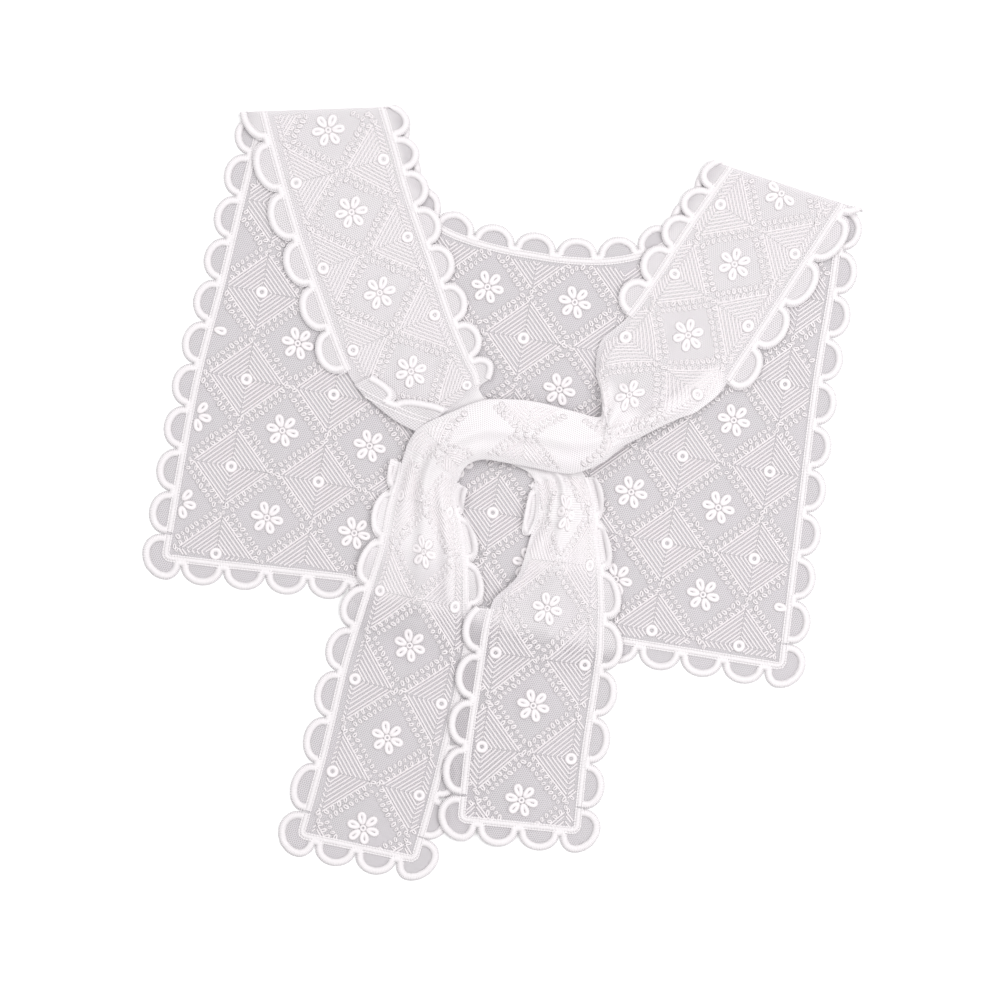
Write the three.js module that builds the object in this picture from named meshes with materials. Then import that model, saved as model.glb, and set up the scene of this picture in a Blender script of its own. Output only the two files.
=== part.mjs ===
// Lace collar laid flat: a yoke with a scooped neckline whose two shoulder strips fold over to the
// front, cross in a loose knot and hang as two tails. All edges carry a scalloped edging.
// Millimetres. X runs along the hem, Y up the centre back, Z up from the table.

import * as THREE from "three";

// ---- driving sizes ----
const WALL = 1.2;              // cloth with its embroidery
const GAP = 0.3;               // between pieces, at seams and between layers
const LAYER = WALL + GAP;      // rise from one layer to the next
const HALF_TIE = 35;           // middle of a tie to its seam
const EDGE_REACH = 14.5;        // seam to the top of a scallop
const EDGE_NECK = 4.2;         // seam to the notch between two scallops
const HALF_OVERALL = HALF_TIE + EDGE_REACH;
const CORNER_RADIUS = 3;       // seam line where a side turns into a hem
const ARCH_HALF = 44;          // a gathered tie stands up between these
const SLANT_LENGTH = 15;       // stretch of seam over which an edging squares up from a fold
const PLEATS = 4;              // soft pleats across a gathered tie
const LOBE_STEPS = 4;          // facets round one scallop
const CORNER_STEPS = 10;       // facets round a corner scallop
const CORNER_ON_SIDE = 14;     // how far a corner scallop reaches up a side seam
const CORNER_ON_HEM = 9;       // and along a hem
const CORNER = CORNER_ON_SIDE + CORNER_ON_HEM;
const TAIL_PITCH = 28.3;       // from one scallop of a tail to the next

const rad = THREE.MathUtils.degToRad;

// Each tie is a strip of cloth followed from its shoulder fold to its end.
// along: distance down the strip; x, y: its middle; turn: direction of its crosswise line, degrees;
// gather: laid width over cut width; liftLeft, liftRight: height of the underside at each side;
// crown: how far the middle stands up; pleat: height of its pleats;
// left, right: where the upper layer ends across the strip, at a seam or at a crease.
const COLUMNS = [
  "along", "x", "y", "turn", "gather", "liftLeft", "liftRight", "crown", "pleat", "left", "right",
];

const LEFT_TIE = table([
  [0, -145, 211, 12, 1.02, 2.4, 2.4, 0, 0, -35, 35],
  [30, -132, 184, 20, 1.01, 1.5, 1.5, 0.3, 0, -35, 35],
  [60, -119, 157, 27, 1, 1.5, 1.5, 0.5, 0, -35, 35],
  [109, -95, 114, 32, 1, 1.5, 1.5, 0.8, 0, -35, 35],
  [151, -74, 78, 34, 0.98, 1.5, 1.5, 1, 0.3, -35, 35],
  [183, -54, 53, 40, 0.92, 1.5, 1.5, 1, 0.4, -26, 35],
  [203, -38, 42, 50, 0.7, 1.5, 1.5, 1, 0.5, -22, 35],
  [235, -8, 34, 62, 0.42, 1.5, 1.5, 3, 0.6, -22, 35],
  [270, 24, 26, 30, 0.42, 1.5, 1.5, 1.8, 0.6, -30, 35],
  [292, 36, 14, 12, 0.45, 1.5, 1.5, 3, 0.8, -35, 35],
  [312, 41, -8, 6, 0.52, 1.5, 1.5, 4.5, 0.9, -34, 35],
  [344, 40, -40, 3, 0.8, 2.6, 1.5, 3, 0.7, -26, 35],
  [366, 39, -62, 2, 0.95, 3.9, 1.5, 1.5, 0.3, -35, 35],
  [386, 40, -84, 2, 1, 3.6, 1.5, 0.3, 0, -35, 35],
  [400, 40.5, -98, 2, 1, 2.2, 0, 0, 0, -35, 35],
  [440, 41.5, -138, 2, 1, 1.8, 0, 0, 0, -35, 35],
  [492, 45, -190, 4, 1, 1.8, 0, 0, 0, -35, 35],
  [518, 46.8, -216, 4, 1, 1.8, 0, 0, 0, -35, 35],
]);

const RIGHT_TIE = table([
  [0, 136, 214.5, -8, 1.01, 2.4, 2.4, 0, 0, -35, 35],
  [31, 123.5, 186, -16, 1, 1.5, 1.5, 0.4, 0, -35, 35],
  [63, 111, 157, -24, 1, 1.5, 1.5, 0.8, 0, -35, 35],
  [101, 96, 122, -28, 1, 1.5, 1.5, 1.5, 0.3, -35, 35],
  [123, 87, 103, -30, 1.02, 1.5, 1.5, 2.5, 0.6, -35, 35],
  [140, 76, 90, -28, 1.02, 1.5, 1.5, 4, 1, -35, 35],
  [149, 70, 82.5, -29, 0.92, 1.5, 1.5, 5.5, 1.1, -34, 34],
  [165, 61.5, 69, -40, 0.7, 1.7, 1.7, 7, 1.2, -33, 33],
  [175, 57.5, 59.5, -57, 0.53, 2.5, 2.5, 8, 1, -33, 33],
  [188, 54.5, 47, -74, 0.4, 4, 4, 8.5, 0.6, -33, 33],
  [208, 35, 41, -88, 0.56, 5, 5, 8, 0.7, -33, 33],
  [233, 10, 42, -90, 0.58, 5, 5, 8, 0.7, -33, 33],
  [256, -13, 40.5, -84, 0.54, 5.2, 5, 8, 0.7, -33, 33],
  [274, -29, 33, -60, 0.48, 5, 5, 8, 0.8, -33, 33],
  [293, -42, 20, -30, 0.54, 3.4, 3.4, 7.5, 1, -34, 34],
  [310, -45, 3, -12, 0.5, 1.6, 1.6, 6.5, 1.2, -35, 35],
  [333, -42, -20, -8, 0.65, 1.5, 1.5, 5, 1.2, -35, 35],
  [358, -39, -45, -3, 0.75, 1.5, 1.5, 3.5, 1, -35, 35],
  [377, -38.5, -64, -2, 0.84, 1.5, 1.5, 2.2, 0.7, -35, 35],
  [398, -37.5, -85, -4, 0.95, 1.5, 1.5, 1, 0.3, -35, 35],
  [412, -38.5, -99, -5, 0.98, 0, 0, 0.6, 0.2, -35, 35],
  [433, -40, -120, -6, 1, 0, 0, 0, 0, -35, 35],
  [483, -43, -170, -6, 1, 0, 0, 0, 0, -35, 35],
  [534, -48, -220, -2, 1, 0, 0, 0, 0, -35, 35],
  [560, -50.6, -246, -2, 1, 0, 0, 0, 0, -35, 35],
]);

// Stretches of each tie, in millimetres along it.
const LEFT_FRONT_END = 197;
const RIGHT_TAIL_START = 284;
const RIGHT_TAIL_END = 492;
const BAND_START = 178;
const BAND_END = 300;
const LEFT_TAIL_END = 534;

// Edgings of the ties: side is -1 for a tie's left seam and 1 for its right; notch is the first notch
// between scallops, pitch their width, and from and to the stretch that shows.
const LEFT_FRONT_EDGINGS = {
  left_front_outer_edging: { side: -1, notch: -12.5, pitch: 26.9, to: 150 },
  left_front_neck_edging: { side: 1, notch: -4.2, pitch: 25.6, to: LEFT_FRONT_END },
};
const RIGHT_FRONT_EDGINGS = {
  right_front_outer_edging: { side: 1, notch: -22.5, pitch: 27.5, to: 128 },
  right_front_neck_edging: { side: -1, notch: -6, pitch: 25.5, to: 122 },
};
const LEFT_TAIL_EDGINGS = {
  left_tail_outer_edging: { side: -1, from: 306 },
  left_tail_inner_edging: { side: 1, from: 302 },
};
const RIGHT_TAIL_EDGINGS = {
  right_tail_outer_edging: { side: 1, from: 286 },
  right_tail_upper_edging: { side: -1, notch: 263.7, from: 288, to: 325 },
  right_tail_inner_edging: { side: -1, from: 368 },
};
const TURNED_EDGE = { notch: 149, pitch: 26.9, from: 158, scallops: 2 };

// What lies hidden inside the knot, as a stretch along and across the band above it.
const CORE = { from: 192, to: 268, half: 23 };

// Seam lines of the yoke, from the shoulder to the hem and round the neck.
const LEFT_SIDE = points([[-183, 166], [-187, 100], [-192, 34], [-192, -69]]);
const HEM = points([[-158, -67], [-84, -62], [-22, -66], [85, -70.5]]);
const RIGHT_SIDE = points([[184, -69], [178, 39], [174.5, 107], [174, 164]]);
const NECKLINE = points([
  [-101, 196], [-90, 176], [-74, 160], [-56, 152], [-31, 148.5], [-6, 148], [18, 149], [43, 153.5], [66, 164],
  [82, 180], [92, 198],
]);

// ---- cloth materials ----
const net = new THREE.MeshStandardMaterial({ color: 0xe9e6ea, roughness: 0.85, metalness: 0 });
const cord = new THREE.MeshStandardMaterial({ color: 0xf7f5f5, roughness: 0.6, metalness: 0 });

const collar = new THREE.Group();

// ---- small helpers ----
function table(rows) {
  return rows.map((row) => Object.fromEntries(COLUMNS.map((name, i) => [name, row[i]])));
}

function points(pairs) {
  return pairs.map(([x, y]) => new THREE.Vector2(x, y));
}

function range(count) {
  return Array.from({ length: count }, (_, i) => i);
}

function clamp01(value) {
  return THREE.MathUtils.clamp(value, 0, 1);
}

// Slope at row i of a column, level at its peaks so that the curve never overshoots the table.
function slope(rows, name, i) {
  const rise = (a, b) => (rows[b][name] - rows[a][name]) / (rows[b].along - rows[a].along);
  if (i === 0) return rise(0, 1);
  if (i === rows.length - 1) return rise(i - 1, i);
  const before = rise(i - 1, i);
  const after = rise(i, i + 1);
  if (before * after <= 0) return 0;
  return (2 * before * after) / (before + after);
}

// A strip's row at any distance along it.
function rowAt(rows, along) {
  const last = rows.length - 2;
  const found = rows.findIndex((row, i) => i <= last && along <= rows[i + 1].along);
  const i = found < 0 ? last : found;
  const span = rows[i + 1].along - rows[i].along;
  const f = clamp01((along - rows[i].along) / span);
  const f2 = f * f;
  const f3 = f2 * f;
  const result = {};
  for (const name of COLUMNS) {
    const a = rows[i][name];
    const b = rows[i + 1][name];
    const ends = (2 * f3 - 3 * f2 + 1) * a + (3 * f2 - 2 * f3) * b;
    const slopes = (f3 - 2 * f2 + f) * slope(rows, name, i) + (f3 - f2) * slope(rows, name, i + 1);
    result[name] = ends + slopes * span;
  }
  return result;
}

// Middle of the cloth's thickness at a place on a tie. Before along = 0 the cloth goes round
// the shoulder fold and down to the yoke.
function tiePoint(rows, along, across) {
  const row = rowAt(rows, Math.max(along, 0));
  const lateral = across * row.gather;
  const turn = rad(row.turn);
  const side = clamp01(0.5 - across / HALF_TIE);
  const ease = side * side * (3 - 2 * side);
  const lift = row.liftRight + (row.liftLeft - row.liftRight) * ease;
  const arch = row.crown * Math.max(0, 1 - (across / ARCH_HALF) ** 2) ** 2;
  const pleat = row.pleat * Math.cos((2 * Math.PI * PLEATS * across) / (2 * HALF_OVERALL));
  const foldRadius = rows[0].liftLeft / 2;
  const angle = Math.max(-along, 0) / foldRadius;
  const outward = foldRadius * Math.sin(angle);
  return new THREE.Vector3(
    row.x + lateral * Math.cos(turn) - outward * Math.sin(turn),
    row.y + lateral * Math.sin(turn) + outward * Math.cos(turn),
    WALL / 2 + lift + Math.max(arch + pleat, 0) - foldRadius * (1 - Math.cos(angle)),
  );
}

function tieSurface(rows) {
  const STEP = 0.4;
  return (along, across) => {
    const downStrip = tiePoint(rows, along + STEP, across).sub(tiePoint(rows, along - STEP, across));
    const overStrip = tiePoint(rows, along, across + STEP).sub(tiePoint(rows, along, across - STEP));
    const normal = downStrip.cross(overStrip).normalize();
    return { point: tiePoint(rows, along, across), normal };
  };
}

// The yoke lies flat on the table, and its cloth places are X and Y.
function yokeSurface(x, y) {
  return { point: new THREE.Vector3(x, y, WALL / 2), normal: new THREE.Vector3(0, 0, 1) };
}

// ---- solids ----
// A closed wall from a grid of upper and lower points.
function wallGeometry(upper, lower) {
  const rows = upper.length;
  const cols = upper[0].length;
  const positions = [...upper.flat(), ...lower.flat()].flatMap((p) => [p.x, p.y, p.z]);
  const top = (i, j) => i * cols + j;
  const low = (i, j) => rows * cols + i * cols + j;
  const index = [];
  const quad = (a, b, c, d) => index.push(a, b, c, a, c, d);
  for (let i = 0; i < rows - 1; i++) {
    for (let j = 0; j < cols - 1; j++) {
      quad(top(i, j), top(i + 1, j), top(i + 1, j + 1), top(i, j + 1));
      quad(low(i, j), low(i, j + 1), low(i + 1, j + 1), low(i + 1, j));
    }
    quad(top(i, 0), low(i, 0), low(i + 1, 0), top(i + 1, 0));
    quad(top(i, cols - 1), top(i + 1, cols - 1), low(i + 1, cols - 1), low(i, cols - 1));
  }
  for (let j = 0; j < cols - 1; j++) {
    quad(top(0, j), top(0, j + 1), low(0, j + 1), low(0, j));
    quad(top(rows - 1, j), low(rows - 1, j), low(rows - 1, j + 1), top(rows - 1, j + 1));
  }
  const geometry = new THREE.BufferGeometry();
  geometry.setAttribute("position", new THREE.Float32BufferAttribute(positions, 3));
  geometry.setIndex(facingOut(positions, index));
  geometry.computeVertexNormals();
  return geometry;
}

// Turns every triangle round if the solid came out inside out.
function facingOut(positions, index) {
  const at = (i) => new THREE.Vector3().fromArray(positions, 3 * i);
  let volume = 0;
  for (let k = 0; k < index.length; k += 3) {
    volume += at(index[k]).dot(at(index[k + 1]).cross(at(index[k + 2])));
  }
  if (volume > 0) return index;
  return index.map((_, k) => index[k - (k % 3) + [0, 2, 1][k % 3]]);
}

function addPiece(name, geometry, material) {
  const mesh = new THREE.Mesh(geometry, material.clone());
  mesh.name = name;
  collar.add(mesh);
}

// A cloth wall on a surface, from a grid of places on it.
function addSheet(name, surface, grid, material, rise = 0) {
  const placed = grid.map((row) => row.map(([a, b]) => surface(a, b)));
  const offset = (distance) => placed.map((row) => row.map(({ point, normal }) => (
    point.clone().addScaledVector(normal, rise + distance)
  )));
  addPiece(name, wallGeometry(offset(WALL / 2), offset(-WALL / 2)), material);
}

// Places across a tie's upper layer, at the given distances along it.
function tieGrid(rows, alongs, cols) {
  return alongs.map((along) => {
    const row = rowAt(rows, Math.max(along, 0));
    const left = row.left + GAP / 2;
    const right = row.right - GAP / 2;
    return range(cols + 1).map((j) => [along, left + ((right - left) * j) / cols]);
  });
}

// Evenly spaced distances from one place to another.
function spaced(from, to, count) {
  return range(count + 1).map((i) => from + ((to - from) * i) / count);
}

// Distances round a shoulder fold, from the yoke's end up to the strip's first row.
function roundFold(rows) {
  const length = (Math.PI * rows[0].liftLeft) / 2;
  return spaced(-length, 0, 4).slice(0, -1);
}

// ---- seam paths and scalloped edgings ----
// A seam line in cloth places: at(s) gives the place s along it and the way out from the cloth.
// first, last: the way out at its ends, where a fold line crosses the seam at a slant.
function seamPath(line, outward, { first, last } = {}) {
  const lengths = [0];
  for (let i = 1; i < line.length; i++) lengths.push(lengths[i - 1] + line[i].distanceTo(line[i - 1]));
  const total = lengths[lengths.length - 1];
  const place = (s) => {
    const clamped = THREE.MathUtils.clamp(s, 0, total);
    const i = Math.min(Math.max(lengths.findIndex((l) => l >= clamped), 1), line.length - 1);
    const f = (clamped - lengths[i - 1]) / (lengths[i] - lengths[i - 1]);
    return line[i - 1].clone().lerp(line[i], f);
  };
  const at = (s) => {
    const ahead = place(Math.min(s + 1, total));
    const behind = place(Math.max(s - 1, 0));
    const way = ahead.sub(behind).normalize();
    const out = new THREE.Vector2(way.y, -way.x).multiplyScalar(outward);
    if (first) out.lerp(first, clamp01(1 - s / SLANT_LENGTH)).normalize();
    if (last) out.lerp(last, clamp01(1 - (total - s) / SLANT_LENGTH)).normalize();
    return { place: place(s), out };
  };
  return { at, total };
}

function smoothLine(through, count) {
  return new THREE.SplineCurve(through).getPoints(count);
}

// A line through the given points, each one between its ends rounded.
function cornered(corners) {
  const line = [corners[0]];
  for (let i = 1; i < corners.length - 1; i++) {
    const corner = corners[i];
    const before = corner.clone().add(corners[i - 1].clone().sub(corner).setLength(CORNER_RADIUS));
    const after = corner.clone().add(corners[i + 1].clone().sub(corner).setLength(CORNER_RADIUS));
    line.push(...new THREE.QuadraticBezierCurve(before, corner, after).getPoints(6));
  }
  line.push(corners[corners.length - 1]);
  return line;
}

// Columns of one scallop: where it starts on the seam and how far out it reaches.
function lobeColumns(from, to, steps, corner) {
  return range(steps + 1).map((k) => {
    const f = corner ? k / steps : (1 - Math.cos((Math.PI * k) / steps)) / 2;
    const height = Math.pow(Math.max(0, 1 - (2 * f - 1) ** 2), 0.5);
    return { s: from + (to - from) * f, reach: EDGE_NECK + (EDGE_REACH - EDGE_NECK) * height };
  });
}

// stretches: each has its first and last distance on the seam, its number of scallops, and corner.
function scallops(stretches) {
  const columns = [];
  for (const { from, to, count, corner = false } of stretches) {
    for (let n = 0; n < count; n++) {
      const pitch = (to - from) / count;
      const steps = corner ? CORNER_STEPS : LOBE_STEPS;
      const lobe = lobeColumns(from + n * pitch, from + (n + 1) * pitch, steps, corner);
      columns.push(...(columns.length ? lobe.slice(1) : lobe));
    }
  }
  return columns;
}

// keepFrom, keepTo: the piece is cut off at these distances, where a fold or a layer hides it.
// also: more distances that need a column of their own, such as those round a fold.
function addEdging(name, surface, path, stretches, options = {}) {
  const { keepFrom = 0, keepTo = path.total, inner = GAP / 2, also = [] } = options;
  const all = scallops(stretches);
  const reachAt = (s) => {
    const i = Math.max(all.findIndex((column) => column.s >= s), 1);
    const f = clamp01((s - all[i - 1].s) / (all[i].s - all[i - 1].s));
    return all[i - 1].reach + (all[i].reach - all[i - 1].reach) * f;
  };
  const first = Math.max(keepFrom, all[0].s);
  const last = Math.min(keepTo, all[all.length - 1].s);
  const lastExtra = Math.max(first, ...also);
  const regular = all.map(({ s }) => s).filter((s) => s > lastExtra + 1 && s < last - 1);
  const grid = [...new Set([first, ...also, ...regular, last])].map((s) => {
    const { place, out } = path.at(s);
    return [inner, reachAt(s)].map((distance) => place.clone().addScaledVector(out, distance).toArray());
  });
  addSheet(name, surface, grid, cord);
}

// ---- yoke ----
// A tie's fold line where it leaves the yoke, moved in by the gap.
function foldCorner(rows, across) {
  const { x, y, turn, gather } = rows[0];
  const lateral = across * gather;
  return new THREE.Vector2(
    x + lateral * Math.cos(rad(turn)) + GAP * Math.sin(rad(turn)),
    y + lateral * Math.sin(rad(turn)) - GAP * Math.cos(rad(turn)),
  );
}

function foldWay(rows) {
  return new THREE.Vector2(Math.cos(rad(rows[0].turn)), Math.sin(rad(rows[0].turn)));
}

function yokeSeams() {
  const left = smoothLine([foldCorner(LEFT_TIE, -HALF_TIE), ...LEFT_SIDE], 16);
  const right = smoothLine([...RIGHT_SIDE, foldCorner(RIGHT_TIE, HALF_TIE)], 16);
  const neck = smoothLine([
    foldCorner(LEFT_TIE, HALF_TIE), ...NECKLINE, foldCorner(RIGHT_TIE, -HALF_TIE),
  ], 32);
  return { left, right, neck };
}

function addYoke() {
  const { left, right, neck } = yokeSeams();
  const hem = cornered([left[left.length - 2], LEFT_SIDE[3], ...HEM, RIGHT_SIDE[0], right[1]]);
  const outline = [...left.slice(0, -2), ...hem, ...right.slice(2), ...[...neck].reverse()];
  const inset = insetOutline(outline, GAP / 2);
  const geometry = new THREE.ExtrudeGeometry(new THREE.Shape(inset), { depth: WALL, bevelEnabled: false });
  addPiece("back_panel", geometry, net);
}

// An anticlockwise outline moved inwards.
function insetOutline(outline, distance) {
  return outline.map((point, i) => {
    const before = outline[(i + outline.length - 1) % outline.length];
    const after = outline[(i + 1) % outline.length];
    const wayIn = point.clone().sub(before).normalize();
    const wayOut = after.clone().sub(point).normalize();
    const inward = new THREE.Vector2(-(wayIn.y + wayOut.y), wayIn.x + wayOut.x).normalize();
    const half = Math.sqrt((1 + wayIn.dot(wayOut)) / 2);
    return point.clone().addScaledVector(inward, distance / Math.max(half, 0.3));
  });
}

function addYokeEdgings() {
  const { left, right, neck } = yokeSeams();
  const leftFold = foldWay(LEFT_TIE);
  const rightFold = foldWay(RIGHT_TIE);
  const leftPath = seamPath(left, 1, { first: leftFold.clone().negate() });
  const rightPath = seamPath(right, 1, { last: rightFold });
  const neckPath = seamPath(neck, -1, { first: leftFold, last: rightFold.clone().negate() });
  const leftEnd = leftPath.total - CORNER_ON_SIDE;
  addEdging("left_side_edging", yokeSurface, leftPath,
    [{ from: 0, to: leftEnd, count: 10 }], { keepTo: leftEnd - GAP / 2 });
  addEdging("right_side_edging", yokeSurface, rightPath,
    [{ from: CORNER_ON_SIDE, to: rightPath.total, count: 10 }], { keepFrom: CORNER_ON_SIDE + GAP / 2 });
  addEdging("neck_edging", yokeSurface, neckPath, [{ from: 0, to: neckPath.total, count: 11 }]);

  const hem = seamPath(cornered([
    leftPath.at(leftEnd).place, LEFT_SIDE[3], ...HEM, RIGHT_SIDE[0], rightPath.at(CORNER_ON_SIDE).place,
  ]), 1);
  addEndEdging("hem_edging", yokeSurface, hem, 14);
}

// ---- ties ----
// A tie's seam, as places on its surface.
function stripSeam(side, total) {
  const out = new THREE.Vector2(0, side);
  return { total, at: (along) => ({ place: new THREE.Vector2(along, side * HALF_TIE), out }) };
}

function foldStart(rows) {
  return -(Math.PI * rows[0].liftLeft) / 2;
}

// Scallops along a tie's seams. Without a row of its own, a value is the tail's.
function addTieEdgings(rows, edgings, tail = {}) {
  const surface = tieSurface(rows);
  for (const [name, row] of Object.entries(edgings)) {
    const { side, notch, pitch, from = foldStart(rows), to } = { ...tail, ...row };
    const count = Math.ceil((to + pitch - notch) / pitch);
    const also = from < 0 ? [...roundFold(rows), 0] : [];
    addEdging(name, surface, stripSeam(side, to), [{ from: notch, to: notch + count * pitch, count }],
      { keepFrom: from, keepTo: to, inner: 1.5 * GAP, also });
  }
}

// Distances along a front: close together round the shoulder fold and where the seams curve.
function frontAlongs(rows, ...rest) {
  return [...roundFold(rows), ...spaced(0, 40, 5), ...rest.flat()];
}

function addLeftFront() {
  const alongs = frontAlongs(LEFT_TIE, spaced(60, LEFT_FRONT_END, 8));
  addSheet("left_front", tieSurface(LEFT_TIE), tieGrid(LEFT_TIE, alongs, 9), net);
  addTieEdgings(LEFT_TIE, LEFT_FRONT_EDGINGS);
  addTurnedEdge();
}

// The outer edge of the left front turns over along a crease and lies on the front.
function addTurnedEdge() {
  const { notch, pitch, from, scallops: count } = TURNED_EDGE;
  const LEAST_WIDTH = 3;
  const columns = scallops([{ from: notch, to: notch + count * pitch, count }])
    .filter(({ s }) => s >= from && s <= LEFT_FRONT_END);
  const grid = columns.map(({ s, reach }) => {
    const crease = rowAt(LEFT_TIE, s).left;
    const edge = Math.max(2 * crease + HALF_TIE + reach, crease + LEAST_WIDTH);
    return spaced(crease + GAP, edge, 2).map((across) => [s, across]);
  });
  addSheet("left_front_turned_edge", tieSurface(LEFT_TIE), grid, cord, LAYER);
}

function addRightFront() {
  const end = BAND_START - 3 * GAP;
  const alongs = frontAlongs(RIGHT_TIE, spaced(60, 120, 4), spaced(130, end, 7));
  addSheet("right_front", tieSurface(RIGHT_TIE), tieGrid(RIGHT_TIE, alongs, 11), net);
  addTieEdgings(RIGHT_TIE, RIGHT_FRONT_EDGINGS);
}

function addKnot() {
  const surface = tieSurface(RIGHT_TIE);
  addSheet("knot_band", surface, tieGrid(RIGHT_TIE, spaced(BAND_START, BAND_END, 16), 12), net);

  const belowBand = WALL / 2 - LAYER - GAP;
  const acrosses = spaced(-CORE.half, CORE.half, 8);
  const under = spaced(CORE.from, CORE.to, 9).map((along) => acrosses.map((across) => {
    const { point, normal } = surface(along, across);
    return point.addScaledVector(normal, belowBand);
  }));
  const seat = under.map((row) => row.map(({ x, y }) => new THREE.Vector3(x, y, LAYER)));
  addPiece("knot_core", wallGeometry(under, seat), net);
}

// Scallops along a hem or round the end of a tail, with a wide one on each corner.
function addEndEdging(name, surface, path, count) {
  addEdging(name, surface, path, [
    { from: 0, to: CORNER, count: 1, corner: true },
    { from: CORNER, to: path.total - CORNER, count },
    { from: path.total - CORNER, to: path.total, count: 1, corner: true },
  ], { keepFrom: GAP / 2, keepTo: path.total - GAP / 2 });
}

function addTailEnd(name, rows, end) {
  const start = end - CORNER_ON_SIDE;
  const corners = points([[start, HALF_TIE], [end, HALF_TIE], [end, -HALF_TIE], [start, -HALF_TIE]]);
  addEndEdging(name, tieSurface(rows), seamPath(cornered(corners), -1), 2);
}

// The sheet of a tail, its end rounded at the corners.
function addTail(name, rows, from, end) {
  const COLS = 12;
  const FLAT_PART = 120;
  const FLAT_STEPS = [105, 80, 55, 30, 12, CORNER_RADIUS, CORNER_RADIUS / 3, GAP / 2];
  const alongs = [...spaced(from, end - FLAT_PART, 15), ...FLAT_STEPS.map((back) => end - back)];
  const grid = tieGrid(rows, alongs, COLS);
  const [shoulder, tip] = grid.slice(-2);
  for (const [row, inset] of [[shoulder, CORNER_RADIUS / 3], [tip, CORNER_RADIUS]]) {
    row[0][1] += inset;
    row[COLS][1] -= inset;
  }
  addSheet(name, tieSurface(rows), grid, net);
}

// The values that a tail's edgings share.
function tailEdges(end, count) {
  const corner = end - CORNER_ON_SIDE;
  return { notch: corner - count * TAIL_PITCH, pitch: TAIL_PITCH, to: corner - GAP / 2 };
}

function addTails() {
  addTail("left_tail", RIGHT_TIE, BAND_END + GAP, LEFT_TAIL_END);
  addTieEdgings(RIGHT_TIE, LEFT_TAIL_EDGINGS, tailEdges(LEFT_TAIL_END, 8));
  addTailEnd("left_tail_end_edging", RIGHT_TIE, LEFT_TAIL_END);

  addTail("right_tail", LEFT_TIE, RIGHT_TAIL_START, RIGHT_TAIL_END);
  addTieEdgings(LEFT_TIE, RIGHT_TAIL_EDGINGS, tailEdges(RIGHT_TAIL_END, 7));
  addTailEnd("right_tail_end_edging", LEFT_TIE, RIGHT_TAIL_END);
}

addYoke();
addYokeEdgings();
addLeftFront();
addRightFront();
addKnot();
addTails();

// The origin is the bottom centre of the whole collar.
const extent = new THREE.Box3().setFromObject(collar);
const middle = extent.getCenter(new THREE.Vector3());
collar.position.set(-middle.x, -middle.y, -extent.min.z);

export default collar;
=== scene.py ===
"""Lace collar laid flat: embroidered net, scalloped edging and the loose knot of its two ties."""
import math

import bpy
import numpy as np
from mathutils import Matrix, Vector
from mathutils.geometry import delaunay_2d_cdt


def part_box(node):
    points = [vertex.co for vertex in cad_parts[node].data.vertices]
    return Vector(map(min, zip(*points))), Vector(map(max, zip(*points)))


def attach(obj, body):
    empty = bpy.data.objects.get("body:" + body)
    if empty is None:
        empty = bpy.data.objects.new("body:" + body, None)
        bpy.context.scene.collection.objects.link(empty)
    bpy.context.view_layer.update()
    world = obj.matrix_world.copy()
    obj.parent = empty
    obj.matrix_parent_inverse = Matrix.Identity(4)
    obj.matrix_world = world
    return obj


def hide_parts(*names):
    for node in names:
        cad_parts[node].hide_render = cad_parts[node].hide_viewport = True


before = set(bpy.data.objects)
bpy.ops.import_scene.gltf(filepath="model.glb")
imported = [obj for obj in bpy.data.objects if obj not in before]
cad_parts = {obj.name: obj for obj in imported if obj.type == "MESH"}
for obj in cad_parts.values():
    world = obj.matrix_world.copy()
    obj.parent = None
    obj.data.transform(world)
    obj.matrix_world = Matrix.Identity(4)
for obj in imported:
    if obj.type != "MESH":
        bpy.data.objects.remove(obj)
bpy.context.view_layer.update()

# ---- driving sizes, in millimetres until a mesh is made ----
MM = 0.001
WALL = 1.2                 # the frame's cloth wall; the net lies in its middle
GAP = 0.3
HALF_TIE = 35.0            # middle of a tie to its seam
EDGE_REACH = 14.5          # seam to the top of a scallop
EDGE_NECK = 4.2            # seam to the notch between two scallops
HALF_OVERALL = HALF_TIE + EDGE_REACH
CORNER_RADIUS = 3.0
ARCH_HALF = 44.0
SLANT_LENGTH = 15.0
PLEATS = 4
CORNER_ON_SIDE = 14.0
CORNER_ON_HEM = 9.0
CORNER = CORNER_ON_SIDE + CORNER_ON_HEM

LEFT_FRONT_END = 197.0
RIGHT_TAIL_START = 284.0
RIGHT_TAIL_END = 492.0
BAND_START = 178.0
BAND_END = 300.0
LEFT_TAIL_END = 534.0
TAIL_PITCH = 28.3

NET_STEP = 2.5             # size of the net's faces
TURN_RADIUS = 0.75         # of a margin folded along a crease
TURN_UNDER = 7.0           # how much of a folded margin is modelled below the front

# ---- the ties, followed from the shoulder fold to the end ----
COLUMNS = ("along", "x", "y", "turn", "gather", "lift_left", "lift_right", "crown", "pleat", "left", "right")

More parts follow.
